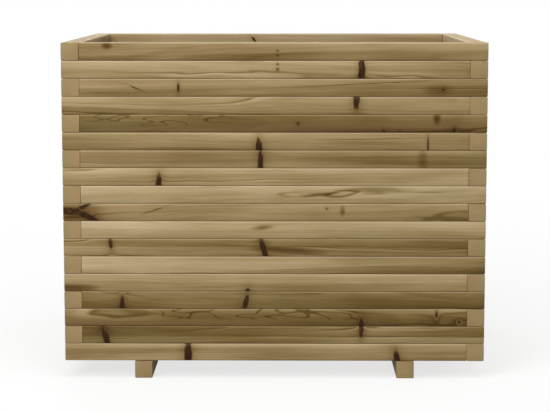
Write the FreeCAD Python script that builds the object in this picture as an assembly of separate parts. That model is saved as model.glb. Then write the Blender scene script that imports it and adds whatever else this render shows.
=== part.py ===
"""Raised planter of stacked square battens on two runners.

Millimetres. The origin lies on the ground under the middle of the planter, +X points right, +Y
points back and +Z points up. Row 1 is the top row of the walls.
"""
import FreeCAD, Part
import os

# Walls
BATTEN = 44.0  # side of the square planed batten, the stock of walls, posts and runners
LONG_LENGTH = 1000.0  # front and back battens
SHORT_LENGTH = 700.0  # left and right battens
ROWS = 18
EASE = 3.0  # rounding of a batten's long edges

# Runners
RUNNER_INSET = 174.0  # from the side of the planter to the outer side of a runner

# Uprights inside the walls
ROWS_ABOVE_POSTS = 1  # rows of the walls above the top of posts and stiffeners
STIFFENER_THICKNESS = 22.0

# Floor
FLOOR_BOARDS = 6
FLOOR_THICKNESS = 20.0
FLOOR_GAP = 8.0  # for drainage, between two boards and between a board and a wall
FLOOR_END_GAP = 3.0  # from a board's end to the side wall
FLOOR_EASE = 2.0
POST_NOTCH_CLEARANCE = 2.0  # between a floor board and a post that it goes round

# Screws
SCREW_DIAMETER = 5.0
SCREW_HEAD_DIAMETER = 9.5
SCREW_HOLE_CLEARANCE = 0.1  # between a screw and the wood round it
SCREW_DRIVE_ACROSS = 3.6  # hexagonal recess in the head, from corner to corner
SCREW_DRIVE_DEPTH = 2.0
WALL_SCREW_BITE = 26.0  # how far a screw from an upright goes into a wall
RIM_SCREW_BITE = 34.0  # how far a rim screw goes into the second row
FLOOR_SCREW_BITE = 25.0  # how far a floor screw goes into a runner
RUNNER_SCREW_BITE = 30.0  # how far a runner screw goes into the bottom row
POST_SCREW_SPACING = 16.0  # in a row, between a post's screw into a long wall and the lower one
RIM_SCREW_INSET = 80.0  # from the end of a top batten that butts against its neighbour
FLOOR_SCREW_EDGE = 22.0  # from the edge of a floor board
RUNNER_SCREW_RECESS = 5.0  # from the ground up to the head

# Sizes that follow
WIDTH = LONG_LENGTH + BATTEN
DEPTH = SHORT_LENGTH + BATTEN
WALL_BASE = BATTEN
RIM = WALL_BASE + ROWS * BATTEN
INNER_X = WIDTH / 2 - BATTEN
INNER_Y = DEPTH / 2 - BATTEN
POST_TOP = RIM - ROWS_ABOVE_POSTS * BATTEN
POST_X = INNER_X - BATTEN / 2
POST_Y = INNER_Y - BATTEN / 2
WALL_X = WIDTH / 2 - BATTEN / 2
WALL_Y = DEPTH / 2 - BATTEN / 2
FLOOR_TOP = WALL_BASE + FLOOR_THICKNESS
FLOOR_PITCH = (2 * INNER_Y - FLOOR_GAP) / FLOOR_BOARDS
FLOOR_BOARD_WIDTH = FLOOR_PITCH - FLOOR_GAP
RUNNER_X = WIDTH / 2 - RUNNER_INSET - BATTEN / 2

X_AXIS = FreeCAD.Vector(1, 0, 0)
Y_AXIS = FreeCAD.Vector(0, 1, 0)
Z_AXIS = FreeCAD.Vector(0, 0, 1)
SIDES = (-1, 1)


def row_base(row):
    """Height of the underside of a row."""
    return RIM - row * BATTEN


def is_odd(row):
    return row % 2 == 1


def bar(length, wide, high, ease):
    """A bar with eased long edges, along +X from the origin and centred on the X axis."""
    y = wide / 2
    z = high / 2
    turn = ease * (1 - 0.5**0.5)
    corners = []
    for start, middle, end in (
        ((y - ease, z), (y - turn, z - turn), (y, z - ease)),
        ((y, ease - z), (y - turn, turn - z), (y - ease, -z)),
        ((ease - y, -z), (turn - y, turn - z), (-y, ease - z)),
        ((-y, z - ease), (turn - y, z - turn), (ease - y, z)),
    ):
        corners.append([FreeCAD.Vector(0, *place) for place in (start, middle, end)])
    edges = []
    for corner, following in zip(corners, corners[1:] + corners[:1]):
        edges.append(Part.Arc(*corner).toShape())
        edges.append(Part.LineSegment(corner[2], following[0]).toShape())
    return Part.Face(Part.Wire(edges)).extrude(X_AXIS * length)


def bar_along_x(first_x, last_x, y, z, wide=BATTEN, high=BATTEN, ease=EASE):
    made = bar(last_x - first_x, wide, high, ease)
    made.translate(FreeCAD.Vector(first_x, y, z))
    return made


def bar_along_y(first_y, last_y, x, z):
    made = bar(last_y - first_y, BATTEN, BATTEN, EASE)
    made.rotate(FreeCAD.Vector(), Z_AXIS, 90)
    made.translate(FreeCAD.Vector(x, first_y, z))
    return made


def upright(x, y, base, wide, thick):
    """A post or stiffener from base to the height that all uprights share."""
    made = bar(POST_TOP - base, thick, wide, EASE)
    made.rotate(FreeCAD.Vector(), Y_AXIS, -90)
    made.translate(FreeCAD.Vector(x, y, base))
    return made


def long_batten(row, side):
    """A front (side -1) or back (side 1) batten. Odd rows of the front wall reach its right end."""
    shift = BATTEN / 2 if is_odd(row) == (side < 0) else -BATTEN / 2
    middle = row_base(row) + BATTEN / 2
    return bar_along_x(shift - LONG_LENGTH / 2, shift + LONG_LENGTH / 2, side * WALL_Y, middle)


def short_batten(row, side):
    """A left (side -1) or right (side 1) batten. Odd rows of the left wall reach the front."""
    shift = -BATTEN / 2 if is_odd(row) == (side < 0) else BATTEN / 2
    middle = row_base(row) + BATTEN / 2
    return bar_along_y(shift - SHORT_LENGTH / 2, shift + SHORT_LENGTH / 2, side * WALL_X, middle)


def floor_boards():
    """[(y of its middle, board)] across the runners, with notches for the corner posts."""
    notch_size = BATTEN + 2 * POST_NOTCH_CLEARANCE
    notches = []
    for side_x in SIDES:
        for side_y in SIDES:
            corner_x = side_x * POST_X - notch_size / 2
            corner_y = side_y * POST_Y - notch_size / 2
            notch = Part.makeBox(notch_size, notch_size, FLOOR_THICKNESS)
            notch.translate(FreeCAD.Vector(corner_x, corner_y, WALL_BASE))
            notches.append(notch)
    end = INNER_X - FLOOR_END_GAP
    middle = WALL_BASE + FLOOR_THICKNESS / 2
    boards = []
    for index in range(FLOOR_BOARDS):
        y = (index + 0.5 - FLOOR_BOARDS / 2) * FLOOR_PITCH
        board = bar_along_x(-end, end, y, middle, FLOOR_BOARD_WIDTH, FLOOR_THICKNESS, FLOOR_EASE)
        boards.append((y, board.cut(notches)))
    return boards


def screw_outline(length, grow):
    """A countersunk screw pointing along +Z, with the top of its head at the origin."""
    head = SCREW_HEAD_DIAMETER / 2 + grow
    shank = SCREW_DIAMETER / 2 + grow
    cone = head - shank
    tip = SCREW_DIAMETER
    points = [(0, 0), (head, 0), (shank, cone), (shank, length - tip), (0, length + grow), (0, 0)]
    outline = Part.makePolygon([FreeCAD.Vector(x, 0, z) for x, z in points])
    return Part.Face(outline).revolve(FreeCAD.Vector(), Z_AXIS, 360)


def screw_body(length):
    """A screw with a hexagonal recess in its head."""
    corners = []
    for angle in range(0, 361, 60):
        turned = FreeCAD.Rotation(Z_AXIS, angle)
        corners.append(turned.multVec(X_AXIS * (SCREW_DRIVE_ACROSS / 2)))
    drive = Part.Face(Part.makePolygon(corners)).extrude(Z_AXIS * SCREW_DRIVE_DEPTH)
    return screw_outline(length, 0).cut(drive)


class ScrewGroup:
    """Identical screws, with the holes that they need in the wood."""

    def __init__(self, length, recess=0.0):
        self.body = screw_body(length)
        hole = screw_outline(length, SCREW_HOLE_CLEARANCE)
        if recess:
            bore = Part.makeCylinder(SCREW_HEAD_DIAMETER / 2 + SCREW_HOLE_CLEARANCE, recess)
            bore.translate(Z_AXIS * -recess)
            hole = hole.fuse(bore)
        self.hole = hole
        self.screws = []
        self.holes = []

    def drive(self, x, y, z, direction):
        """Puts a screw in, with the top of its head at x, y, z."""
        place = FreeCAD.Placement(FreeCAD.Vector(x, y, z), FreeCAD.Rotation(Z_AXIS, direction))
        for shape, made in ((self.body, self.screws), (self.hole, self.holes)):
            copy = shape.copy()
            copy.Placement = place
            made.append(copy)


def post_screws():
    """One screw from each post into each batten end beside it, in every row that the posts reach."""
    group = ScrewGroup(BATTEN + WALL_SCREW_BITE)
    inner_face_x = INNER_X - BATTEN
    inner_face_y = INNER_Y - BATTEN
    for row in range(1 + ROWS_ABOVE_POSTS, ROWS + 1):
        long_height = row_base(row) + BATTEN / 2 + POST_SCREW_SPACING / 2
        short_height = long_height - POST_SCREW_SPACING
        for side_x in SIDES:
            for side_y in SIDES:
                group.drive(side_x * POST_X, side_y * inner_face_y, long_height, Y_AXIS * side_y)
                group.drive(side_x * inner_face_x, side_y * POST_Y, short_height, X_AXIS * side_x)
    return group


def stiffener_screws():
    """One screw from each stiffener into each batten behind it, above the row that hides the floor."""
    group = ScrewGroup(STIFFENER_THICKNESS + WALL_SCREW_BITE)
    inner_face = INNER_Y - STIFFENER_THICKNESS
    for row in range(1 + ROWS_ABOVE_POSTS, ROWS):
        for side in SIDES:
            group.drive(0, side * inner_face, row_base(row) + BATTEN / 2, Y_AXIS * side)
    return group


def rim_screws():
    """Two screws down through each batten of the top row."""
    group = ScrewGroup(BATTEN + RIM_SCREW_BITE)
    butted_x = INNER_X - RIM_SCREW_INSET
    butted_y = INNER_Y - RIM_SCREW_INSET
    for side in SIDES:
        group.drive(side * butted_x, side * WALL_Y, RIM, -Z_AXIS)
        group.drive(-side * WALL_X, side * WALL_Y, RIM, -Z_AXIS)
        group.drive(side * WALL_X, -side * butted_y, RIM, -Z_AXIS)
        group.drive(side * WALL_X, side * WALL_Y, RIM, -Z_AXIS)
    return group


def floor_screws(board_middles):
    """Two screws through each floor board into each runner."""
    group = ScrewGroup(FLOOR_THICKNESS + FLOOR_SCREW_BITE)
    from_middle = FLOOR_BOARD_WIDTH / 2 - FLOOR_SCREW_EDGE
    for y in board_middles:
        for side_x in SIDES:
            for side_y in SIDES:
                group.drive(side_x * RUNNER_X, y + side_y * from_middle, FLOOR_TOP, -Z_AXIS)
    return group


def runner_screws():
    """One screw up through each end of a runner into the bottom row."""
    group = ScrewGroup(BATTEN - RUNNER_SCREW_RECESS + RUNNER_SCREW_BITE, RUNNER_SCREW_RECESS)
    for side_x in SIDES:
        for side_y in SIDES:
            group.drive(side_x * RUNNER_X, side_y * WALL_Y, RUNNER_SCREW_RECESS, Z_AXIS)
    return group


def wooden_pieces(boards):
    """{node: its solids} for everything that is cut from wood."""
    pieces = {}
    for row in range(1, ROWS + 1):
        pieces[f"front_batten_{row:02d}"] = [long_batten(row, -1)]
        pieces[f"back_batten_{row:02d}"] = [long_batten(row, 1)]
    for name, side in (("left", -1), ("right", 1)):
        for parity, first in (("odd", 1), ("even", 2)):
            rows = range(first, ROWS + 1, 2)
            pieces[f"{name}_battens_{parity}_rows"] = [short_batten(row, side) for row in rows]
        pieces[f"runner_{name}"] = [bar_along_y(-DEPTH / 2, DEPTH / 2, side * RUNNER_X, BATTEN / 2)]
        for end, side_y in (("front", -1), ("back", 1)):
            post = upright(side * POST_X, side_y * POST_Y, WALL_BASE, BATTEN, BATTEN)
            pieces[f"corner_post_{end}_{name}"] = [post]
    for end, side_y in (("front", -1), ("back", 1)):
        y = side_y * (INNER_Y - STIFFENER_THICKNESS / 2)
        pieces[f"stiffener_{end}"] = [upright(0, y, FLOOR_TOP, BATTEN, STIFFENER_THICKNESS)]
    for index, (_, board) in enumerate(boards):
        pieces[f"floor_board_{index + 1}"] = [board]
    return pieces


def drilled(solid, holes):
    """The solid with every hole that reaches it cut out."""
    tools = [hole for hole in holes if hole.BoundBox.intersect(solid.BoundBox)]
    if not tools:
        return solid
    return solid.cut(tools)


def main():
    boards = floor_boards()
    groups = {
        "post_screws": post_screws(),
        "stiffener_screws": stiffener_screws(),
        "rim_screws": rim_screws(),
        "floor_screws": floor_screws([y for y, _ in boards]),
        "runner_screws": runner_screws(),
    }
    holes = [hole for group in groups.values() for hole in group.holes]
    os.makedirs("parts", exist_ok=True)
    for node, blanks in wooden_pieces(boards).items():
        solids = [solid for blank in blanks for solid in drilled(blank, holes).Solids]
        Part.makeCompound(solids).exportStep(f"parts/{node}.step")
    for node, group in groups.items():
        Part.makeCompound(group.screws).exportStep(f"parts/{node}.step")


main()
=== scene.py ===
# %% [markdown]
# # A raised planter of pine battens
# The planter is an open box of planed, pressure-treated pine, as it stands on a terrace. Square
# battens lie flat on each other like the logs of a cabin: in one row the long batten runs over the
# corner, in the next row the short one does. Two runners keep the bottom row off the ground.
# The exact sizes come from a packed model, the frame. This lesson gives every batten its own body
# and its own piece of a tree, so that grain, knots and end grain agree from every side.

# %% Load the frame
import math
import random
from collections import namedtuple

import bpy
import numpy as np
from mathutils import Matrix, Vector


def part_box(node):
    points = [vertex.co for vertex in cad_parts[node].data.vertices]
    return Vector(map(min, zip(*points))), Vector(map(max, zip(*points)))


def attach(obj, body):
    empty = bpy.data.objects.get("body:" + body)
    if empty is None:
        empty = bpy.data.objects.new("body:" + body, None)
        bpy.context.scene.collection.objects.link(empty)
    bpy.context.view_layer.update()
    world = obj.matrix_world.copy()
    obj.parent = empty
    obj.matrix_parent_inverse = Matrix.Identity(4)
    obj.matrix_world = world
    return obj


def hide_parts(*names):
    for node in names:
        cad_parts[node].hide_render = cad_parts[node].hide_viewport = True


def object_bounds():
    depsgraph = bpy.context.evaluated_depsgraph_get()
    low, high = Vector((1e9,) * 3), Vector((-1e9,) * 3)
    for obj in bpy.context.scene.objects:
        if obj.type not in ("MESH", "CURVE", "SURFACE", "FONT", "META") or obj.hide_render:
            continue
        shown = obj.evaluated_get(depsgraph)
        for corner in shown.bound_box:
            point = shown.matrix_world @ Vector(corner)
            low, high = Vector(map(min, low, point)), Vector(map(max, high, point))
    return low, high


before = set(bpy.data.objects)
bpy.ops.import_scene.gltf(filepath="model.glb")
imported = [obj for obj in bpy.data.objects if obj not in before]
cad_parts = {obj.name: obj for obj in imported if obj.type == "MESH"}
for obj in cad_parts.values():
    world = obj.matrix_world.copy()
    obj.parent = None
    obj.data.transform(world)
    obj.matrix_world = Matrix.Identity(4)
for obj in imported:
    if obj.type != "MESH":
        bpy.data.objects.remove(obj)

cad_low, cad_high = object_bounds()
print("frame:", len(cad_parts), "nodes, from", tuple(cad_low), "to", tuple(cad_high))

# %% [markdown]
# ## Selecting by place
# An operator works on everything that is selected, and the loaded frame is still selected. So each
# piece starts by letting go of everything, and edges are then picked by where they lie, which keeps
# working when a size changes.

# %% Helpers for selecting
def let_go():
    """Deselect everything, so that the next operator touches only what is added after it."""
    bpy.ops.object.select_all(action="DESELECT")


def take(piece):
    """Make one piece the only selected and active one."""
    let_go()
    piece.select_set(True)
    bpy.context.view_layer.objects.active = piece


def pick_edges(piece, wanted):
    """Enter edit mode with just those edges selected for which wanted(start, end) is true."""
    bpy.ops.object.mode_set(mode="EDIT")
    bpy.ops.mesh.select_mode(type="EDGE")
    bpy.ops.mesh.select_all(action="DESELECT")
    bpy.ops.object.mode_set(mode="OBJECT")
    corners = piece.data.vertices
    for edge in piece.data.edges:
        start, end = edge.vertices
        edge.select = wanted(corners[start].co, corners[end].co)
    bpy.ops.object.mode_set(mode="EDIT")


let_go()
print("still selected:", len(bpy.context.selected_objects))

# %% [markdown]
# ## A planed bar
# Every piece of timber here left the planing machine as a bar with four eased long edges and two
# crisp sawn ends. A cube is stretched to the bar's size, its long edges are bevelled to a round, its
# end rims get a much finer bevel, and cuts along the length give the warping something to move.
# Two values per point are kept for the finish: where the bar is end grain, and where its edge is
# rounded, which the finish rubs a little pale and paints with light and shade.

# %% A planed bar
END_EASE = 0.0012
ROUNDING_STEPS = 3
END_STEPS = 2
ROUND_SHARE = 0.9
STATION = 0.02
SMOOTH_BELOW = math.radians(35)


def points_of(piece):
    """All points of a piece's mesh, one row each."""
    points = np.empty(3 * len(piece.data.vertices), dtype=np.float32)
    piece.data.vertices.foreach_get("co", points)
    return points.reshape(-1, 3)


def write_numbers(piece, name, values):
    """Keep one number per point under a name that the finish can read."""
    layer = piece.data.attributes.new(name, "FLOAT", "POINT")
    layer.data.foreach_set("value", np.asarray(values, dtype=np.float32))


def write_places(piece, name, rows):
    """Keep one vector per point under a name that the finish can read."""
    layer = piece.data.attributes.new(name, "FLOAT_VECTOR", "POINT")
    layer.data.foreach_set("vector", np.asarray(rows, dtype=np.float32).ravel())


def planed_bar(name, length, depth, height, ease):
    """A bar along X around the origin, with eased long edges and crisp ends."""
    let_go()
    bpy.ops.mesh.primitive_cube_add(size=1)
    bar = bpy.context.object
    bar.name = name
    bar.scale = (length, depth, height)
    bpy.ops.object.transform_apply(location=False, rotation=False, scale=True)

    def runs_along(start, end):
        return abs(start.x - end.x) > length / 2

    def rims_an_end(start, end):
        return min(abs(start.x), abs(end.x)) > length / 2 - END_EASE / 2 and start.x * end.x > 0

    pick_edges(bar, runs_along)
    bpy.ops.mesh.bevel(offset=ease, segments=ROUNDING_STEPS, affect="EDGES")
    pick_edges(bar, rims_an_end)
    bpy.ops.mesh.bevel(offset=END_EASE, segments=END_STEPS, affect="EDGES")
    pick_edges(bar, runs_along)
    bpy.ops.mesh.subdivide(number_cuts=round(length / STATION))
    bpy.ops.object.mode_set(mode="OBJECT")
    bpy.ops.object.shade_smooth_by_angle(angle=SMOOTH_BELOW)

    from_faces = np.array((length, depth, height)) / 2 - np.abs(points_of(bar))
    on_round = np.all(from_faces[:, 1:] < ROUND_SHARE * ease, axis=1)
    write_numbers(bar, "edge_wear_and_painted_light", on_round)
    write_numbers(bar, "end_grain", from_faces[:, 0] < END_EASE / 4)
    return bar


row_low, row_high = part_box("front_batten_02")
batten = row_high.z - row_low.z
EASE = 0.003
long_blank = planed_bar("long_blank", row_high.x - row_low.x, batten, batten, EASE)
short_low, short_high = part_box("left_battens_even_rows")
short_blank = planed_bar("short_blank", short_high.y - short_low.y, batten, batten, EASE)
runner_low, runner_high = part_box("runner_left")
runner_blank = planed_bar("runner_blank", runner_high.y - runner_low.y, batten, batten, EASE)
blanks = (long_blank, short_blank, runner_blank)
print("blanks of", [len(blank.data.polygons) for blank in blanks], "faces")

# %% [markdown]
# ## Copies that have dried
# Treated timber dries in the yard and moves: no two battens stay quite straight, and the planed faces
# get shallow dents. Each copy is set down at its own place in an imaginary yard, pressed in there by
# two cloudy Displace modifiers, and only then carried to the planter. The clouds differ from place to
# place, so no two copies are alike. The modifiers only push inwards, so a row never cuts the next one.

# %% Copies that have dried
YARD_STEP = 3.0
BOW, BOW_LENGTH = 0.0003, 0.3
DENT, DENT_LENGTH = 0.0001, 0.03

bow_clouds = bpy.data.textures.new("bow_clouds", type="CLOUDS")
bow_clouds.noise_scale = BOW_LENGTH
dent_clouds = bpy.data.textures.new("dent_clouds", type="CLOUDS")
dent_clouds.noise_scale = DENT_LENGTH
pieces = []


def press_in(piece, clouds, depth):
    """Push a piece's surface inwards, by up to a depth, where the clouds are dark."""
    press = piece.modifiers.new(clouds.name, "DISPLACE")
    press.texture = clouds
    press.texture_coords = "LOCAL"
    press.mid_level = 1.0
    press.strength = depth
    bpy.ops.object.modifier_apply(modifier=press.name)


def set_down(piece, place, turn=(0, 0, 0)):
    """Move and turn a piece, and keep the place in its mesh."""
    piece.location = place
    piece.rotation_euler = turn
    bpy.ops.object.transform_apply(location=True, rotation=True, scale=False)


def dried_copy(blank, name, middle, turn=(0, 0, 0)):
    """One dried copy of a blank, turned and with its middle at a place."""
    take(blank)
    bpy.ops.object.duplicate(linked=False)
    piece = bpy.context.object
    piece.name = name
    piece.data.name = name
    yard_place = YARD_STEP * (1 + len(pieces))
    set_down(piece, (0, 0, yard_place))
    press_in(piece, bow_clouds, BOW)
    press_in(piece, dent_clouds, DENT)
    set_down(piece, (0, 0, -yard_place))
    set_down(piece, middle, turn)
    pieces.append(piece)
    return piece


print("battens bow by up to", BOW, "m, with dents of up to", DENT, "m")

# %% [markdown]
# ## Countersinks
# The screw heads sit flush in the wood, so the wood needs a countersink for each of them. Where the
# heads are is read from the frame: a copy of all the screws of one kind is taken apart into single
# screws, and a screw's head is the end that has many points, because its tip is one point. Short
# cylinders at the heads that lie in a piece are then taken out of it by a Boolean modifier.

# %% Countersinks
HEAD_ROOM = 0.0001
HEAD_DEPTH = 0.0024
HEAD_SIDES = 20
OUTSIDE = 0.006
NEAR = 0.0002
Head = namedtuple("Head", "place axis inward radius")


def head_of(screw):
    """Where a single screw's head is, the number of its axis, the way it points, and its radius."""
    points = points_of(screw)
    low, high = points.min(axis=0), points.max(axis=0)
    axis = int(np.argmax(high - low))
    at_low = np.sum(points[:, axis] < low[axis] + NEAR)
    at_high = np.sum(points[:, axis] > high[axis] - NEAR)
    place = (low + high) / 2
    place[axis] = low[axis] if at_low > at_high else high[axis]
    return Head(place, axis, 1 if at_low > at_high else -1, np.sort(high - low)[0] / 2)


def heads_in(node):
    """The heads of all the screws of a node."""
    take(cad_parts[node])
    bpy.ops.object.duplicate(linked=False)
    bpy.ops.object.mode_set(mode="EDIT")
    bpy.ops.mesh.select_all(action="SELECT")
    bpy.ops.mesh.remove_doubles(threshold=NEAR / 20)
    bpy.ops.mesh.separate(type="LOOSE")
    bpy.ops.object.mode_set(mode="OBJECT")
    screws = list(bpy.context.selected_objects)
    heads = [head_of(screw) for screw in screws]
    for screw in screws:
        bpy.data.objects.remove(screw)
    return heads


def cut_away(piece, cutter):
    """Take one piece's shape out of another, and remove the cutter."""
    take(piece)
    cut = piece.modifiers.new("cut", "BOOLEAN")
    cut.operation = "DIFFERENCE"
    cut.solver = "EXACT"
    cut.object = cutter
    bpy.ops.object.modifier_apply(modifier=cut.name)
    bpy.ops.object.shade_smooth_by_angle(angle=SMOOTH_BELOW)
    bpy.data.objects.remove(cutter)


def countersink(piece, screws):
    """Cut a countersink for each head that lies in a piece."""
    points = points_of(piece)
    low, high = points.min(axis=0) - OUTSIDE / 2, points.max(axis=0) + OUTSIDE / 2
    drills = []
    for head in HEADS[screws]:
        if np.any(head.place < low) or np.any(head.place > high):
            continue
        middle = head.place.copy()
        middle[head.axis] += head.inward * (HEAD_DEPTH - OUTSIDE) / 2
        turn = [(0, math.pi / 2, 0), (math.pi / 2, 0, 0), (0, 0, 0)][head.axis]
        let_go()
        bpy.ops.mesh.primitive_cylinder_add(
            vertices=HEAD_SIDES,
            radius=head.radius + HEAD_ROOM,
            depth=HEAD_DEPTH + OUTSIDE,
            location=middle,
            rotation=turn,
        )
        drills.append(bpy.context.object)
    let_go()
    for drill in drills:
        drill.select_set(True)
    bpy.context.view_layer.objects.active = drills[0]
    bpy.ops.object.join()
    cut_away(piece, drills[0])


screw_nodes = [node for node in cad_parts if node.endswith("_screws")]
HEADS = {node: heads_in(node) for node in screw_nodes}
print("heads:", {node: len(heads) for node, heads in HEADS.items()})

# %% [markdown]
# ## A place in a tree
# What makes wood look like wood is that all its faces cut through one tree. So each batten is given a
# place in a trunk: how far along it, and where the heart lies seen from the batten's middle. The finish
# then only has to draw rings around the heart. The trunk may drift away from the batten along its
# length, and a spread below one stretches the grain.

# %% A place in a tree
TRUNK_LENGTH = 60
HEART_RANGE = (0.03, 0.09)
DRIFT_RANGE = (-0.02, 0.02)
SPREAD_RANGE = (0.7, 1.3)
Timber = namedtuple("Timber", "start heart drift spread")


def fell(luck, bearing=None, distance=None):
    """Choose where in a trunk a board was sawn; bearing 0 puts the heart straight behind its face."""
    start = luck.uniform(0, TRUNK_LENGTH)
    if bearing is None:
        bearing = luck.uniform(0, 2 * math.pi)
    if distance is None:
        distance = luck.uniform(*HEART_RANGE)
    heart = (distance * math.cos(bearing), distance * math.sin(bearing))
    drift = (luck.uniform(*DRIFT_RANGE), luck.uniform(*DRIFT_RANGE))
    return Timber(start, heart, drift, luck.uniform(*SPREAD_RANGE))


print("boards are sawn from", TRUNK_LENGTH, "m of trunk")

# %% [markdown]
# ## A board's look
# A knot is a side branch, a long thin egg in the wood. For each point the place is kept as the knot sees
# it, measured in knot sizes, so that the knot ends at a distance of one. A soft stain, a strip of paler
# or darker wood along the lower side, and an eye, where the grain parts round a hidden branch, are kept
# in the same way. Together with the tones of its two ends they are a board's look.

# %% A board's look
MM = 0.001
# DIP is how much painted light and shade a batten gets unless told: lighter above, darker below.
DIP = 0.08
KNOTS_PER_BOARD = 5
STAINS_PER_BOARD = 2
PIN_REACH = 25
Knot = namedtuple("Knot", "place axis girth reach")
Strip = namedtuple("Strip", "left right change")
Eye = namedtuple("Eye", "at rise slope reach girth")
Look = namedtuple(
    "Look", "left right knots stains strip eye figured dip", defaults=((), (), None, None, None, DIP)
)


def spike(at, rise=0, lean=0.0, girth=8, reach=45, deep=3):
    """A branch sawn lengthways: a dark upright streak, widest at a rise above the middle. In mm."""
    return Knot((at * MM, deep * MM, rise * MM), (lean, 0, 1), girth * MM, reach * MM)


def pin(at, rise=0, girth=3):
    """A thin branch sawn across: a dark dot. In mm."""
    return Knot((at * MM, 0, rise * MM), (0, 1, 0), girth * MM, PIN_REACH * MM)


def dash(at, rise=0, slope=0.0, reach=12, girth=1.2):
    """A short resin streak or drying crack along the grain. In mm."""
    return Knot((at * MM, 0, rise * MM), (1, 0, slope), girth * MM, reach * MM)


def smear(at, rise=0, slope=0.0, reach=40, girth=7, deep=0):
    """A soft brown stain beside a hidden branch, weaker on the face the deeper it lies. In mm."""
    return Knot((at * MM, deep * MM, rise * MM), (1, 0, slope), girth * MM, reach * MM)


print("a look says", Look._fields)

# %% Writing a look into a board
FAR = 9.0
FIGURE_FADE = 0.04
EYE_DEPTH = 0.02


def as_seen_from(knot, places):
    """The places of a board, measured from a knot in knot sizes."""
    axis = np.array(knot.axis) / np.linalg.norm(knot.axis)
    offset = places - np.array(knot.place)
    along = offset @ axis
    across = offset - np.outer(along, axis)
    return across / knot.girth + np.outer(along / knot.reach, axis)


def give_marks(piece, places, look):
    """Write into a board where each point is as seen from each of its knots and stains."""
    nowhere = np.full(places.shape, FAR)
    grown = [("knot", look.knots, KNOTS_PER_BOARD), ("stain", look.stains, STAINS_PER_BOARD)]
    for kind, marks, count in grown:
        for index in range(count):
            seen = as_seen_from(marks[index], places) if index < len(marks) else nowhere
            write_places(piece, f"{kind}_{index + 1}", seen)


def give_eye(piece, places, eye):
    """Write into a board where each point is as seen from its eye."""
    seen = np.full(places.shape, FAR)
    if eye:
        reach, depth, height = places.T
        along = reach - eye.at * MM
        over = height - eye.rise * MM - eye.slope * along
        seen = np.stack([along, depth, over], axis=1) / (eye.reach * MM, EYE_DEPTH, eye.girth * MM)
    write_places(piece, "eye", seen)


def give_figure(piece, reach, stretch):
    """Write into a board how strong its figure is, if it has one in some stretch."""
    figure = np.zeros(len(reach))
    if stretch:
        first, last = stretch
        figure = np.clip(np.minimum(reach - first * MM, last * MM - reach) / FIGURE_FADE, 0, 1)
    write_numbers(piece, "figure", figure)


def give_strip(piece, height, share, strip):
    """Write into a board how far above its strip each point is, and how the strip changes the tone."""
    strip = strip or Strip(0, 0, 0.0)
    above = height - (strip.left + (strip.right - strip.left) * share) * MM
    write_places(piece, "strip", np.stack([above, np.full(len(above), strip.change), 0 * above], axis=1))


def give_grain(piece, along, outward, timber, look, start=None):
    """Write a board's place in the tree and its look into it; the look's places count from a start."""
    points = points_of(piece)
    along, outward = np.array(along), np.array(outward)
    upward = np.cross(outward, along)
    reach = points @ along
    depth = (points @ outward).max() - points @ outward
    height = points @ upward
    half_height = (height.max() - height.min()) / 2
    height = height - (height.max() + height.min()) / 2
    share = (reach - reach.min()) / (reach.max() - reach.min())
    trunk = np.stack([
        reach + timber.start,
        (depth - half_height - timber.heart[0]) * timber.spread + timber.drift[0] * reach,
        (height - timber.heart[1]) * timber.spread + timber.drift[1] * reach,
    ], axis=1)
    write_places(piece, "trunk", trunk)
    write_numbers(piece, "tone", look.left + (look.right - look.left) * share)
    write_numbers(piece, "rise", height / half_height)
    write_numbers(piece, "dip", np.full(len(points), look.dip))
    write_numbers(piece, "depth", depth / depth.max())
    give_strip(piece, height, share, look.strip)

    reach = reach - (reach.min() if start is None else start)
    places = np.stack([reach, depth, height], axis=1)
    give_marks(piece, places, look)
    give_eye(piece, places, look.eye)
    give_figure(piece, reach, look.figured)


print("a board carries up to", KNOTS_PER_BOARD, "knots and", STAINS_PER_BOARD, "stains")

# %% [markdown]
# ## The pine finish
# Pressure-treated pine is tan with an olive cast. It has growth rings with a soft pale part and a thin
# dark part, long streaks along the fibres, red-brown knots and a little green salt at its ends. All of
# this could be painted, but a painted face wouldn't agree with its neighbours. Here the nodes read the
# place in the trunk that each point carries, and work out rings, streaks and knots from it, step by
# step in the cells that follow. A small class keeps the node code short: its methods add a node or two
# and hand back what comes out.

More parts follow.
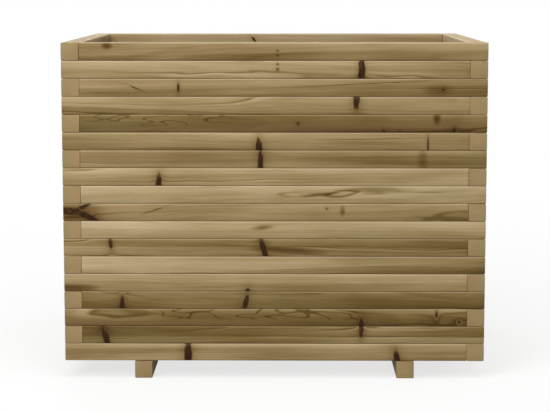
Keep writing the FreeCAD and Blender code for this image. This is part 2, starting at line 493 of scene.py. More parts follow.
# %% A class for mixing a finish
class Finish:
    """A material being mixed; most methods add nodes and return what comes out."""

    def __init__(self, name):
        self.material = bpy.data.materials.new(name)
        self.material.use_nodes = True
        self.tree = self.material.node_tree
        self.shader = self.tree.nodes["Principled BSDF"]

    def fill(self, socket, value):
        """Put a number, a colour or another node's output into a socket."""
        if isinstance(value, bpy.types.NodeSocket):
            self.tree.links.new(value, socket)
        else:
            socket.default_value = value

    def add(self, kind, **options):
        """A new node with its options set."""
        node = self.tree.nodes.new(kind)
        for option, value in options.items():
            setattr(node, option, value)
        return node

    def carried(self, name, output="Vector"):
        """A value that the piece carries at each point."""
        return self.add("ShaderNodeAttribute", attribute_name=name).outputs[output]

    def place(self):
        """The place in the object."""
        return self.add("ShaderNodeTexCoord").outputs["Object"]

    def sum(self, operation, first, second=0.0, third=0.0):
        """One piece of arithmetic."""
        node = self.add("ShaderNodeMath", operation=operation)
        for socket, value in zip(node.inputs, (first, second, third)):
            self.fill(socket, value)
        return node.outputs[0]

    def plus(self, first, amount, second):
        """first + amount times second."""
        return self.sum("MULTIPLY_ADD", second, amount, first)

    def stretched(self, vector, by):
        """A vector with each of its three parts multiplied."""
        node = self.add("ShaderNodeVectorMath", operation="MULTIPLY")
        self.fill(node.inputs[0], vector)
        self.fill(node.inputs[1], by)
        return node.outputs[0]

    def moved(self, vector, by):
        """A vector with another one added to it."""
        node = self.add("ShaderNodeVectorMath", operation="ADD")
        self.fill(node.inputs[0], vector)
        self.fill(node.inputs[1], by)
        return node.outputs[0]

    def length(self, vector):
        """The length of a vector."""
        node = self.add("ShaderNodeVectorMath", operation="LENGTH")
        self.fill(node.inputs[0], vector)
        return node.outputs["Value"]

    def joined(self, x, y, z):
        """Three numbers as one vector."""
        node = self.add("ShaderNodeCombineXYZ")
        for socket, value in zip(node.inputs, (x, y, z)):
            self.fill(socket, value)
        return node.outputs[0]

    def parts(self, vector):
        """The three parts of a vector."""
        node = self.add("ShaderNodeSeparateXYZ")
        self.fill(node.inputs[0], vector)
        return node.outputs["X"], node.outputs["Y"], node.outputs["Z"]

    def clouds(self, vector, by, detail=2.0):
        """Soft noise around zero, between about -0.5 and 0.5, on a stretched place."""
        node = self.add("ShaderNodeTexNoise")
        node.inputs["Scale"].default_value = 1.0
        node.inputs["Detail"].default_value = detail
        self.fill(node.inputs["Vector"], self.stretched(vector, by))
        return self.sum("SUBTRACT", node.outputs["Fac"], 0.5)

    def between(self, value, low, high):
        """A smooth step from 0 at low to 1 at high."""
        node = self.add("ShaderNodeMapRange", interpolation_type="SMOOTHSTEP")
        self.fill(node.inputs["Value"], value)
        self.fill(node.inputs["From Min"], low)
        self.fill(node.inputs["From Max"], high)
        return node.outputs["Result"]

    def blend(self, share, first, second):
        """Two colours mixed."""
        node = self.add("ShaderNodeMix", data_type="RGBA")
        self.fill(node.inputs["Factor"], share)
        self.fill(node.inputs[6], first)
        self.fill(node.inputs[7], second)
        return node.outputs[2]

    def either(self, share, first, second):
        """Two numbers mixed."""
        node = self.add("ShaderNodeMix", data_type="FLOAT")
        self.fill(node.inputs["Factor"], share)
        self.fill(node.inputs[2], first)
        self.fill(node.inputs[3], second)
        return node.outputs[0]

    def scale_of(self, value, stops):
        """A row of colours from low to high, picked by a value."""
        node = self.add("ShaderNodeValToRGB")
        ramp = node.color_ramp
        while len(ramp.elements) < len(stops):
            ramp.elements.new(0.5)
        for element, (position, colour) in zip(ramp.elements, stops):
            element.position = position
            element.color = (*colour, 1.0)
        self.fill(node.inputs["Fac"], value)
        return node.outputs["Color"]

    def relief(self, height, depth, strength):
        """Fine relief for the shader's normal."""
        node = self.add("ShaderNodeBump")
        node.inputs["Distance"].default_value = depth
        node.inputs["Strength"].default_value = strength
        self.fill(node.inputs["Height"], height)
        self.fill(self.shader.inputs["Normal"], node.outputs["Normal"])


print("ways to mix:", [name for name in vars(Finish) if not name.startswith("_")])

# %% [markdown]
# ## Knots, stains and eyes
# A real knot has a torn edge and splinters along its branch. Noise that is read in the knot's own
# measure gets stretched along the branch by itself; a shift by the place in the trunk makes each knot
# differ. A stain is the same thing without an edge. An eye is a lens shape with a dark line round it.

# %% Knots, stains and eyes
SPLINTERS_PER_KNOT = (3, 3, 3)
SHIFT_PER_METRE = (7, 7, 7)
UNSTRETCHED = (1, 1, 1)
FADING = 0.9


def knots_of(pine, trunk):
    """How far the nearest knot is, where the wood is knot, and the splinters in it."""
    nearest, ragged, splinters = FAR, FAR, 0.0
    shift = pine.stretched(trunk, SHIFT_PER_METRE)
    for index in range(KNOTS_PER_BOARD):
        seen = pine.carried(f"knot_{index + 1}")
        away = pine.length(seen)
        torn = pine.clouds(pine.moved(pine.stretched(seen, SPLINTERS_PER_KNOT), shift), UNSTRETCHED)
        nearest = pine.sum("MINIMUM", nearest, away)
        ragged = pine.sum("MINIMUM", ragged, pine.plus(away, 0.5, torn))
        inside = pine.between(away, 2.0, 1.4)
        splinters = pine.plus(pine.sum("MULTIPLY", torn, inside), 1.0, splinters)
    ragged = pine.plus(ragged, 0.5, pine.clouds(trunk, (90, 180, 60), 3))
    return nearest, pine.between(ragged, 1.1, 0.75), splinters


def stains_of(pine, trunk):
    """Where the wood is stained brown."""
    away = FAR
    for index in range(STAINS_PER_BOARD):
        away = pine.sum("MINIMUM", away, pine.length(pine.carried(f"stain_{index + 1}")))
    away = pine.plus(away, 0.4, pine.clouds(trunk, (30, 120, 120)))
    return pine.between(away, 1.5, 0.2)


def eye_of(pine, trunk):
    """How far the board's eye is, measured in its size, and the dark line round it."""
    along, deep, over = pine.parts(pine.carried("eye"))
    lens = pine.sum("MULTIPLY_ADD", along, along, pine.sum("ABSOLUTE", over))
    lens = pine.sum("MULTIPLY_ADD", deep, deep, lens)
    lens = pine.plus(lens, 0.6, pine.clouds(trunk, (25, 160, 160)))
    return lens, pine.sum("SUBTRACT", pine.between(lens, 0.5, 0.95), pine.between(lens, 1.0, 2.2))


def faded(pine, distance):
    """1 at a mark, and less with the distance from it."""
    return pine.sum("EXPONENT", pine.sum("MULTIPLY", distance, -FADING))


print("a mark fades to", round(math.exp(-FADING), 2), "at one size from its middle")

# %% [markdown]
# ## Rings, lines and figure
# The distance from the heart, divided by the gap between two rings, counts the rings, and its fraction
# says how far through a ring a point is. Slow noise bends the rings, and knots and eyes push them
# aside. Some rings are drawn as a sharp dark line with a pale one beside it. Where a board was sawn
# along the rings, they show as long loops instead: those are the places where smooth noise is zero.

# %% Rings, lines and figure
RING_GAP = 0.0036
LINE_GAP = 0.012
FIGURE_LINE = 0.045


def rings_of(pine, trunk, halo, lens):
    """The bent distance from the heart, and the dark late wood of each ring."""
    radius = pine.length(pine.stretched(trunk, (0, 1, 1)))
    radius = pine.plus(radius, 0.016, pine.clouds(trunk, (1.8, 16, 16)))
    radius = pine.plus(radius, 0.006, halo)
    radius = pine.plus(radius, 0.006, faded(pine, lens))
    turn = pine.sum("FRACT", pine.sum("DIVIDE", radius, RING_GAP))
    return radius, pine.sum("SUBTRACT", pine.between(turn, 0.35, 0.92), pine.between(turn, 0.93, 1.0))


def lines_of(pine, trunk, radius):
    """Sharp grain lines, dark with a pale side, in some stretches of a board."""
    waved = pine.plus(radius, 0.012, pine.clouds(trunk, (5, 28, 28)))
    turn = pine.sum("FRACT", pine.sum("DIVIDE", waved, LINE_GAP))
    dark = pine.sum("SUBTRACT", pine.between(turn, 0.86, 0.95), pine.between(turn, 0.97, 1.0))
    pale = pine.sum("SUBTRACT", pine.between(turn, 0.0, 0.03), pine.between(turn, 0.08, 0.2))
    pale = pine.sum("MULTIPLY", pale, pine.between(turn, 0.5, 0.4))
    shown = pine.between(pine.clouds(trunk, (2.2, 20, 20), 1), -0.06, 0.14)
    return pine.sum("MULTIPLY", pine.plus(dark, -0.6, pale), shown)


def figure_of(pine, trunk, rise):
    """Long loops in the upper part of the boards that carry a figure."""
    ripple = pine.sum("ABSOLUTE", pine.clouds(trunk, (17, 105, 105), 0.0))
    loops = pine.between(ripple, FIGURE_LINE, FIGURE_LINE / 4)
    loops = pine.sum("MULTIPLY", loops, pine.carried("figure", "Fac"))
    return pine.sum("MULTIPLY", loops, pine.between(rise, -0.4, 0.1))


print("rings every", RING_GAP, "m, lines every", LINE_GAP, "m")

# %% [markdown]
# ## From tone to colour
# All of these add to or take from one number, the tone, and a row of colours turns the tone into wood:
# dark wood is redder, pale wood greyer. The edges count too: every rounded edge is rubbed a little pale,
# a wall batten's upper edge gets a painted highlight and its lower edge painted shade where the rows
# meet, and the rim of each sawn end gets painted shade for the dark line where pieces meet. On top come
# a rosy blush, the olive cast of the salts, and the knots. The same noise gives the fine relief and the
# roughness.

# %% From tone to colour
PINE_TONES = (
    (0.0, (0.066, 0.033, 0.007)),
    (0.28, (0.150, 0.096, 0.031)),
    (0.5, (0.269, 0.193, 0.089)),
    (0.66, (0.364, 0.274, 0.148)),
    (0.95, (0.503, 0.396, 0.244)),
)
END_TONE = 0.50
ROSY = (0.330, 0.222, 0.112, 1.0)
OLIVE = (0.222, 0.190, 0.076, 1.0)
SALT_GREEN = (0.235, 0.215, 0.105, 1.0)
KNOT_PALE = (0.125, 0.068, 0.027, 1.0)
KNOT_DARK = (0.032, 0.013, 0.004, 1.0)


def edges_added(pine, shade, ends, rise):
    """A tone with rubbed edges, painted edge highlight and shade, and painted shade on end rims added."""
    rubbed_and_lit = pine.carried("edge_wear_and_painted_light", "Fac")
    in_wall = pine.sum("MULTIPLY", rubbed_and_lit, pine.between(pine.carried("dip", "Fac"), 0.0, 0.05))
    rim = pine.sum("MULTIPLY", pine.between(ends, 0.02, 0.3), pine.between(ends, 0.98, 0.7))
    # Wear rubs every rounded edge a little paler.
    shade = pine.plus(shade, 0.06, rubbed_and_lit)
    # Painted highlight on a wall batten's upper rounded edge.
    shade = pine.plus(shade, 0.14, pine.sum("MULTIPLY", in_wall, pine.between(rise, 0.0, 0.6)))
    # Painted shade on a wall batten's lower rounded edge, where the rows meet.
    shade = pine.plus(shade, -0.08, pine.sum("MULTIPLY", in_wall, pine.between(rise, 0.0, -0.6)))
    # Painted shade on the eased rim of each sawn end, for the dark line where pieces meet.
    return pine.plus(shade, -0.24, rim)


def coloured(pine, shade, trunk, ends, salt_share):
    """The colour of a tone, with blush and salts."""
    colour = pine.scale_of(shade, PINE_TONES)
    blush = pine.between(pine.clouds(trunk, (1.1, 26, 26), 1), 0.0, 0.3)
    colour = pine.blend(pine.sum("MULTIPLY", blush, 0.22), colour, ROSY)
    colour = pine.blend(pine.sum("MULTIPLY", ends, 0.3), colour, ROSY)
    salt = pine.between(pine.clouds(trunk, (2.0, 12, 12)), 0.02, 0.3)
    colour = pine.blend(pine.sum("MULTIPLY", salt, salt_share), colour, OLIVE)
    outer_end = pine.sum("MULTIPLY", ends, pine.between(pine.carried("depth", "Fac"), 0.4, 0.0))
    return pine.blend(pine.sum("MULTIPLY", outer_end, 0.45), colour, SALT_GREEN)


def treated_pine(name, salt_share):
    """Pine that reads each board's place in its tree, with more or less green salt."""
    pine = Finish(name)
    trunk = pine.carried("trunk")
    ends = pine.carried("end_grain", "Fac")
    rise = pine.carried("rise", "Fac")
    nearest, knot, splinters = knots_of(pine, trunk)
    halo = faded(pine, nearest)
    lens, lid = eye_of(pine, trunk)
    radius, late = rings_of(pine, trunk, halo, lens)

    along, _, _ = pine.parts(trunk)
    bands = pine.clouds(pine.joined(along, radius, 0.0), (0.7, 38, 1))
    streaks = pine.clouds(trunk, (2.4, 130, 130))
    fibres = pine.clouds(trunk, (10, 900, 900))
    blotches = pine.clouds(trunk, (3.5, 18, 18))
    above, change, _ = pine.parts(pine.carried("strip"))
    below = pine.between(pine.plus(above, 0.006, pine.clouds(trunk, (5, 30, 30))), 0.0014, -0.0014)

    side = pine.plus(pine.carried("tone", "Fac"), 0.55, bands)
    side = pine.plus(side, 0.24, streaks)
    side = pine.plus(side, 0.10, fibres)
    side = pine.plus(side, 0.40, blotches)
    # Painted light and shade: a wall batten lighter towards its upper edge, darker towards its lower edge.
    side = pine.plus(side, 1.0, pine.sum("MULTIPLY", rise, pine.carried("dip", "Fac")))
    side = pine.plus(side, 1.0, pine.sum("MULTIPLY", below, change))
    side = pine.plus(side, -0.04, late)
    side = pine.plus(side, -0.20, lines_of(pine, trunk, radius))
    side = pine.plus(side, -0.28, figure_of(pine, trunk, rise))
    side = pine.plus(side, -0.34, lid)
    side = pine.plus(side, -0.36, stains_of(pine, trunk))
    side = pine.plus(side, -0.36, halo)
    end = pine.plus(END_TONE, 0.22, blotches)
    end = pine.plus(end, -0.03, late)
    shade = edges_added(pine, pine.either(ends, side, end), ends, rise)

    knot_share = pine.between(pine.plus(splinters, 0.14, rise), 0.0, 0.45)
    knot_wood = pine.blend(knot_share, KNOT_DARK, KNOT_PALE)
    colour = pine.blend(knot, coloured(pine, shade, trunk, ends, salt_share), knot_wood)
    pine.fill(pine.shader.inputs["Base Color"], colour)

    rough = pine.plus(0.62, 0.25, fibres)
    pine.fill(pine.shader.inputs["Roughness"], pine.plus(rough, -0.12, knot))
    pine.shader.inputs["Specular IOR Level"].default_value = 0.06
    height = pine.plus(pine.sum("MULTIPLY", late, 0.5), 0.9, fibres)
    height = pine.plus(height, 0.8, streaks)
    pine.relief(pine.plus(height, 0.4, knot), 0.0004, 0.5)
    return pine.material


wall_pine = treated_pine("wall_pine", salt_share=0.22)
inner_pine = treated_pine("inner_pine", salt_share=0.45)
print("pine of", len(wall_pine.node_tree.nodes), "nodes")

# %% [markdown]
# ## The front wall
# The front is the face that everybody sees, so its eighteen battens are chosen one by one: the tone at
# the left end and at the right end, the knots and the stains. A dip says how much painted light and
# shade a batten gets: lighter towards its upper edge, darker towards its lower edge. Odd rows, counted
# from the rim, start one batten to the right, because there the left wall's end grain shows; even rows
# stop one batten short of the right. Knots are given in millimetres, by their distance from the
# planter's left side and their height above the batten's middle.

# %% The looks of the front rows
DEEP_DIP = 0.12
DEEPEST_DIP = 0.20
DARKEST, DARK, MID_DARK, MID, MID_PALE, PALE, PALEST = 0.20, 0.29, 0.38, 0.46, 0.54, 0.62, 0.70
TONES = (DARKEST, DARK, MID_DARK, MID, MID_PALE, PALE, PALEST)
FRONT_ROWS = (
    Look(MID_DARK, MID_PALE, (pin(530, 2, 2), pin(530, -8, 2)), (smear(113, 14, 0, 12, 8),),
         Strip(-10, 4, -0.08)),
    Look(MID_PALE, MID, (spike(735, -8, 0.0, 10), pin(530, 14, 2), pin(530, 2, 2))),
    Look(MID_PALE, MID_DARK, (dash(180, 0, -0.4), spike(287, 0, 0.0, 3, 12, deep=1), pin(935, -4),
         dash(745, 10, 0.05, 130, 0.5)), (smear(925, -8, 0, 40, 16, deep=13),)),
    Look(MID_PALE, MID_PALE, (spike(723, 16, 0.0, 9, 30),), strip=Strip(0, -40, -0.12)),
    Look(DARKEST, DARKEST,
         (pin(580, 0), spike(960, -24, 0.3, 7, 16), pin(790, -20, 5), pin(830, -20, 3)),
         (smear(920, 12, 0, 9, 17, deep=5),), figured=(45, 425), dip=DEEPEST_DIP),
    Look(MID, MID, (spike(484, -22, 0.0, 9, 36), spike(899, -18, 0.0, 2.0, 32, deep=0),
         dash(745, 6, 0.02, 120, 0.45)), strip=Strip(-10, -34, -0.07)),
    Look(MID, DARK, (spike(488, -8, 0.0, 8, 36),), (smear(886, 0, 0, 14, 44, deep=38),),
         Strip(-8, -8, 0.07)),
    Look(PALE, PALEST, (spike(237, -16, 0.05, 8, 28),)),
    Look(PALE, MID_PALE, (dash(905, 7, 0.0, 36, 0.6),),
         (smear(775, 13, -0.02, 84, 9), smear(632, 0, 0.1, 46, 4)),
         eye=Eye(688, 3, 0.12, 38, 6), dip=DEEP_DIP),
    Look(MID_PALE, MID, (dash(14, 3, -0.1, 36, 9), dash(44, 11, 0.4, 28, 5), dash(56, -8, -0.42, 38, 7),
         dash(228, 6, 0.34, 20, 0.9), pin(651, 10, 2)),
         (smear(30, 0, 0, 60, 20), smear(690, 4, 0, 7, 14, deep=8))),
    Look(PALE, MID_PALE, stains=(smear(492, 6, 0.1, 26, 6),), dip=DEEP_DIP),
    Look(MID_DARK, DARK, (spike(117, 10, -0.1, 6, 17), spike(497, -8, -0.3, 8)),
         (smear(560, -8, -0.05, 80, 8),), Strip(4, -2, 0.16)),
    Look(PALEST, MID_DARK, strip=Strip(-30, 10, -0.12), dip=DEEP_DIP),
    Look(MID_PALE, PALE, (spike(456, -24, 0.0, 8, 12),), (smear(20, -14, 0, 60, 10),), dip=DEEP_DIP),
    Look(DARK, DARK, (spike(451, -6, 0.25, 7, 24), spike(144, -12, 0.0, 7, 26))),
    Look(MID_DARK, DARKEST, (spike(738, -24, 0.0, 8, 26), spike(925, 8, 0.0, 3, 9, deep=1), pin(981, -10)),
         figured=(215, 790), dip=DEEPEST_DIP),
    Look(DARKEST, DARK, (spike(103, -8, -0.25, 9), spike(738, 14, 0.0, 7, 24)), strip=Strip(-4, -6, 0.20)),
    Look(MID_PALE, MID_PALE, (spike(307, -6, 0.0, 11), spike(829, -22, -0.2, 9, 34))),
)
print("looks for", len(FRONT_ROWS), "rows")

# %% The front wall
X, Y, Z = (1, 0, 0), (0, 1, 0), (0, 0, 1)
MINUS_X, MINUS_Y = (-1, 0, 0), (0, -1, 0)
FIGURE_HEART = 0.05
FIGURE_SPREAD = 0.73
PIECE_BODY = "root"
SEED = 44


def finished(piece, material, slot, *nodes):
    """Give a piece its material, and tell the frame what it rides on and stands for."""
    piece.data.materials.clear()
    piece.data.materials.append(material)
    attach(piece, PIECE_BODY)
    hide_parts(*nodes)


luck = random.Random(SEED)
for number, look in enumerate(FRONT_ROWS, start=1):
    node = f"front_batten_{number:02d}"
    low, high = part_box(node)
    piece = dried_copy(long_blank, f"front_row_{number:02d}", (low + high) / 2)
    if number == 1:
        countersink(piece, "rim_screws")
    timber = fell(luck)
    if look.figured:
        timber = fell(luck, bearing=0.0, distance=FIGURE_HEART)._replace(spread=FIGURE_SPREAD)
    give_grain(piece, X, MINUS_Y, timber, look, start=cad_low.x)
    finished(piece, wall_pine, "wall_timber", node)
print("front wall:", len(FRONT_ROWS), "rows")

# %% [markdown]
# ## The other walls
# The back and the sides come from the same stack of timber, so a seeded draw gives each batten its
# place in a tree, its tones and a few knots. The short battens of a side share a node of the frame by
# odd and even rows, and each batten stands for its share of it.

# %% The other walls
QUARTER_TURN = (0, 0, math.pi / 2)
# The top rows' looks are given one by one. Their tones are partly painted light: the left batten is darker
# for the shade on the inner left wall, the right one paler for the light on the inner right wall.
RIM_LOOKS = {
    "back": Look(PALE, PALE, (spike(543, 6, 0.9, 4, 10, deep=42), spike(210, 0, 0.1, 7, 30))),
    "left": Look(MID_DARK, DARK, (pin(400, 6, 3),)),
    "right": Look(PALE, PALE, (pin(250, -8, 3), spike(520, -10, -0.1, 7, 30))),
}
KNOT_COUNTS = (0, 1, 1, 2)
SPIKE_SHARE = 0.55
STRIPLESS_SHARE = 0.5
STRIP_HEIGHTS = (-24, 10)
STRIP_CHANGES = (-0.12, -0.08, 0.08, 0.13)
EYELESS_SHARE = 0.85


def grown_knots(length):
    """Up to two knots at random places along a board."""
    knots = []
    for _ in range(luck.choice(KNOT_COUNTS)):
        at = luck.uniform(0.04, 0.96) * length / MM
        rise = luck.uniform(-16, 16)
        if luck.random() < SPIKE_SHARE:
            lean = luck.uniform(-0.3, 0.3)
            knots.append(spike(at, rise, lean, luck.uniform(5, 9), luck.uniform(20, 45)))
        else:
            knots.append(pin(at, rise, luck.uniform(2, 5)))
    return tuple(knots)


def grown_strip():
    """On some boards, a paler or darker strip along the lower side."""
    if luck.random() < STRIPLESS_SHARE:
        return None
    left = luck.uniform(*STRIP_HEIGHTS)
    right = luck.uniform(*STRIP_HEIGHTS)
    return Strip(left, right, luck.choice(STRIP_CHANGES))


def grown_eye(length):
    """On a few boards, an eye."""
    if luck.random() < EYELESS_SHARE:
        return None
    at = luck.uniform(0.2, 0.8) * length / MM
    return Eye(at, rise=luck.uniform(-8, 8), slope=luck.uniform(-0.1, 0.1), reach=44, girth=6)


def drawn_look(length, dip=DIP):
    """Tones, knots, a strip and an eye at random."""
    left = luck.choice(TONES[1:])
    right = left + luck.uniform(-0.1, 0.1)
    return Look(left, right, grown_knots(length), strip=grown_strip(), eye=grown_eye(length), dip=dip)


def wall_row(wall, number, blank, middle, along, outward, node, turn=(0, 0, 0)):
    """One batten of a wall whose looks are drawn at random, except in the top row."""
    piece = dried_copy(blank, f"{wall}_row_{number:02d}", middle, turn)
    look = drawn_look(blank.dimensions.x)
    if number == 1:
        look = RIM_LOOKS[wall]
        countersink(piece, "rim_screws")
    give_grain(piece, along, outward, fell(luck), look)
    finished(piece, wall_pine, "wall_timber", node)


for number in range(1, len(FRONT_ROWS) + 1):
    node = f"back_batten_{number:02d}"
    low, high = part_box(node)
    wall_row("back", number, long_blank, (low + high) / 2, MINUS_X, Y, node)

for side, along, outward in (("left", MINUS_Y, MINUS_X), ("right", Y, X)):
    for number in range(1, len(FRONT_ROWS) + 1):
        parity = "odd" if number % 2 else "even"
        node = f"{side}_battens_{parity}_rows"
        low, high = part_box(node)
        middle = (low + high) / 2
        middle.z = cad_high.z - (number - 0.5) * batten
        wall_row(side, number, short_blank, middle, along, outward, node, QUARTER_TURN)
print("walls:", len(pieces), "battens")

# %% [markdown]
# ## The runners
# Two bars of the same stock lie front to back under the walls. Their sawn ends are flush with the
# front, so they show as two square feet.

# %% The runners
for side, outward, along in (("left", MINUS_X, MINUS_Y), ("right", X, Y)):
    node = f"runner_{side}"
    low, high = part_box(node)
    piece = dried_copy(runner_blank, f"foot_runner_{side}", (low + high) / 2, QUARTER_TURN)
    countersink(piece, "runner_screws")
    give_grain(piece, along, outward, fell(luck), drawn_look(high.y - low.y))
    finished(piece, wall_pine, "wall_timber", node)

# %% [markdown]
# ## Posts, stiffeners and floor boards
# Inside stand four posts and two flat stiffeners that tie the rows together, and six boards make the
# floor. They are bars too: the posts stand up, the boards lie flat, and the two outer boards are
# notched round the posts, which a Boolean modifier with a small cube cuts out.

# %% Posts and stiffeners
UPRIGHT = (0, -math.pi / 2, 0)


def upright_bar(node, name, screws):
    """A bar that stands where a node of the frame stands, with countersinks for its screws."""
    low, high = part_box(node)
    size = high - low
    blank = planed_bar("blank", size.z, size.y, size.x, EASE)
    piece = dried_copy(blank, name, (low + high) / 2, UPRIGHT)
    bpy.data.objects.remove(blank)
    countersink(piece, screws)
    outward = X if low.x < 0 else MINUS_X
    give_grain(piece, Z, outward, fell(luck), drawn_look(size.z, dip=0.0))
    finished(piece, inner_pine, "inner_timber", node)
    return piece


CORNERS = [f"{end}_{side}" for end in ("front", "back") for side in ("left", "right")]
uprights = [upright_bar(f"corner_post_{corner}", f"post_{corner}", "post_screws") for corner in CORNERS]
for end in ("front", "back"):
    uprights.append(upright_bar(f"stiffener_{end}", f"wall_stiffener_{end}", "stiffener_screws"))
print("uprights:", [piece.name for piece in uprights])

# %% Floor boards
FLOOR_EASE = 0.002
NOTCH_ROOM = 0.002
FLOOR_BOARDS = 6


def block(low, high, room):
    """A plain block around a box, for cutting."""
    let_go()
    bpy.ops.mesh.primitive_cube_add(size=1, location=(low + high) / 2)
    cutter = bpy.context.object
    cutter.scale = [edge + 2 * room for edge in high - low]
    bpy.ops.object.transform_apply(location=True, rotation=False, scale=True)
    return cutter


board_low, board_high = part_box("floor_board_2")
board_size = board_high - board_low
board_blank = planed_bar("board_blank", board_size.x, board_size.y, board_size.z, FLOOR_EASE)
for number in range(1, FLOOR_BOARDS + 1):
    node = f"floor_board_{number}"
    low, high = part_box(node)
    piece = dried_copy(board_blank, f"floor_plank_{number}", (low + high) / 2)
    if number in (1, FLOOR_BOARDS):
        end = "front" if number == 1 else "back"
        for side in ("left", "right"):
            cut_away(piece, block(*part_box(f"corner_post_{end}_{side}"), NOTCH_ROOM))
    countersink(piece, "floor_screws")
    give_grain(piece, X, Z, fell(luck), drawn_look(board_size.x, dip=0.0))
    finished(piece, inner_pine, "inner_timber", node)
for blank in (*blanks, board_blank):
    bpy.data.objects.remove(blank)
print("floor boards:", FLOOR_BOARDS)

# %% [markdown]
# ## The screws
# The screws keep the frame's own shape. Outdoor screws are plated: a yellowish steel with a soft sheen,
# a little uneven where the plating is thin, and with fine scratches from the driver.

# %% The screws
THIN_PLATING = (0.42, 0.31, 0.13, 1.0)
FULL_PLATING = (0.66, 0.54, 0.29, 1.0)


def plated_steel(name):
    """Yellow plated steel with uneven sheen and fine scratches."""
    steel = Finish(name)
    place = steel.place()
    mottle = steel.clouds(place, (400, 400, 400), 3)
    scratches = steel.clouds(place, (2500, 300, 2500))
    tint = steel.between(mottle, -0.25, 0.25)
    colour = steel.blend(tint, THIN_PLATING, FULL_PLATING)
    steel.fill(steel.shader.inputs["Base Color"], colour)
    steel.shader.inputs["Metallic"].default_value = 1.0
    steel.fill(steel.shader.inputs["Roughness"], steel.plus(0.36, 0.4, scratches))
    steel.relief(scratches, 0.0001, 0.3)
    return steel.material


screw_steel = plated_steel("screw_steel_plated")
for node in screw_nodes:
    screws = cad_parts[node]
    screws.data.materials.clear()
    screws.data.materials.append(screw_steel)
print("plated:", screw_nodes)

# %% [markdown]
# ## Studio
# The planter stands on a plain white floor in soft light. A white background could come from very
# strong lamps, but they would bleach the wood. Instead the world and the floor show their white to the
# camera and in reflections, and light the planter at a plain level. The floor mixes that white with an
# ordinary white surface, which takes the planter's shadow. Right under the planter, behind its front
# edge, the ground is left in shadow, so that it doesn't shine up through the gaps of the floor.

# %% The world
WHITE = (1.0, 1.0, 1.0, 1.0)
WORLD_LIGHT = 0.5


def seen_directly(tree):
    """1 for what the camera sees straight, in reflections or through glass, else 0."""
    path = tree.nodes.new("ShaderNodeLightPath")
    total = path.outputs["Is Camera Ray"]
    for output in ("Is Glossy Ray", "Is Transmission Ray"):
        larger = tree.nodes.new("ShaderNodeMath")
        larger.operation = "MAXIMUM"
        tree.links.new(total, larger.inputs[0])
        tree.links.new(path.outputs[output], larger.inputs[1])
        total = larger.outputs[0]
    return total


world = bpy.data.worlds.new("soft_white")
bpy.context.scene.world = world
world.use_nodes = True
world_tree = world.node_tree
background = world_tree.nodes["Background"]
background.inputs["Color"].default_value = WHITE
strength = world_tree.nodes.new("ShaderNodeMapRange")
world_tree.links.new(seen_directly(world_tree), strength.inputs["Value"])
strength.inputs["To Min"].default_value = WORLD_LIGHT
strength.inputs["To Max"].default_value = 1.0
world_tree.links.new(strength.outputs["Result"], background.inputs["Strength"])
print("world light", WORLD_LIGHT)

# %% The studio floor
FLOOR_HALF = 20.0
FLOOR_WHITE = (0.8, 0.8, 0.8, 1.0)
BELOW_FEET = 0.0002
SHADOW_SHARE = 0.26
SHADOW_NEAR, SHADOW_FAR = 0.9, 3.5
UNDER_MIDDLE = 0.10
UNDER_X_EDGE, UNDER_X_FULL = 0.545, 0.505
UNDER_Y_EDGE, UNDER_Y_FULL = 0.29, 0.21


def studio_white():
    """White for the camera, mixed with a plain white surface that takes the shadow."""
    white = Finish("studio_white")
    white.shader.inputs["Base Color"].default_value = FLOOR_WHITE
    white.shader.inputs["Roughness"].default_value = 0.9
    white.shader.inputs["Specular IOR Level"].default_value = 0.0
    place = white.place()
    across, along, _ = white.parts(place)
    along = white.sum("SUBTRACT", along, UNDER_MIDDLE)
    under_x = white.between(white.sum("ABSOLUTE", across), UNDER_X_EDGE, UNDER_X_FULL)
    under_y = white.between(white.sum("ABSOLUTE", along), UNDER_Y_EDGE, UNDER_Y_FULL)
    shadow = white.between(white.length(place), SHADOW_FAR, SHADOW_NEAR)
    shadow = white.sum("MULTIPLY", shadow, SHADOW_SHARE)
    shadow = white.sum("MAXIMUM", shadow, white.sum("MULTIPLY", under_x, under_y))
    share = white.sum("MULTIPLY", seen_directly(white.tree), white.sum("SUBTRACT", 1.0, shadow))
    glow = white.add("ShaderNodeEmission")
    mixed = white.add("ShaderNodeMixShader")
    white.fill(mixed.inputs["Fac"], share)
    white.fill(mixed.inputs[1], white.shader.outputs["BSDF"])
    white.fill(mixed.inputs[2], glow.outputs["Emission"])
    white.fill(white.tree.nodes["Material Output"].inputs["Surface"], mixed.outputs["Shader"])
    return white.material


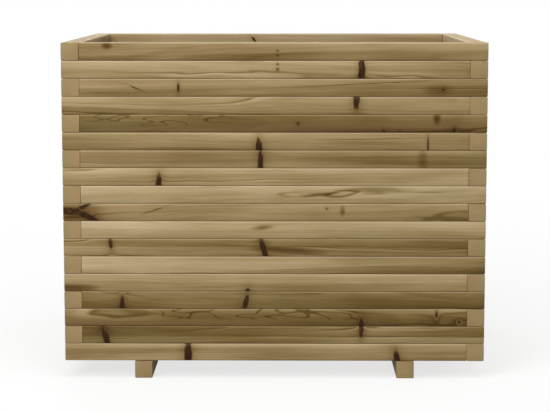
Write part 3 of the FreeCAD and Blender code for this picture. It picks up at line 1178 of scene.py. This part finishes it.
let_go()
bpy.ops.mesh.primitive_plane_add(size=2 * FLOOR_HALF, location=(0, 0, -BELOW_FEET))
floor = bpy.context.object
floor.name = "studio_floor"
floor.data.materials.append(studio_white())
print("floor of", 2 * FLOOR_HALF, "m")

# %% Lamps
def soft_lamp(name, place, aim, size, power):
    """A square soft light that points at a place."""
    bpy.ops.object.light_add(type="AREA", location=place)
    lamp = bpy.context.object
    lamp.name = name
    lamp.data.size = size
    lamp.data.energy = power
    direction = np.array(aim) - np.array(place)
    lamp.rotation_euler = (
        math.atan2(math.hypot(direction[0], direction[1]), -direction[2]),
        0,
        math.atan2(direction[1], direction[0]) - math.pi / 2,
    )
    return lamp


MIDDLE = (0, 0, 0.45)
lamps = [
    soft_lamp("key_light", (-2.2, -3.4, 3.0), MIDDLE, 2.0, 94),
    soft_lamp("top_light", (0.0, -1.4, 3.6), MIDDLE, 2.0, 64),
    soft_lamp("back_light", (-0.8, 4.0, 2.6), MIDDLE, 2.5, 75),
    soft_lamp("side_light", (3.6, 0.4, 1.8), MIDDLE, 2.0, 28),
]
print("lamps:", [(lamp.name, lamp.data.energy) for lamp in lamps])

# %% [markdown]
# ## The camera
# The camera stands a little above the rim, a good four metres away and nearly in the middle, with a
# long lens. A shift keeps part of the downward look out of the camera's tilt, so that the sides of the
# planter stay almost upright in the picture.

# %% The camera
CAMERA_PLACE = (0.032, -4.215, 0.9765)
DEGREES_DOWN = 6.63
DEGREES_LEFT = 0.453
SENSOR_WIDTH = 36.0
LENS = 103.0
LENS_SHIFT = -0.07
bpy.ops.object.camera_add(
    location=CAMERA_PLACE,
    rotation=(math.radians(90 - DEGREES_DOWN), 0, math.radians(DEGREES_LEFT)),
)
camera = bpy.context.object
camera.data.sensor_width = SENSOR_WIDTH
camera.data.lens = LENS
camera.data.shift_y = LENS_SHIFT
bpy.context.scene.camera = camera
bpy.context.scene.view_settings.view_transform = "Standard"
print("camera lens", LENS, "mm")

# %% [markdown]
# ## Size and finish
# The dressed planter has to stay inside the frame's box.
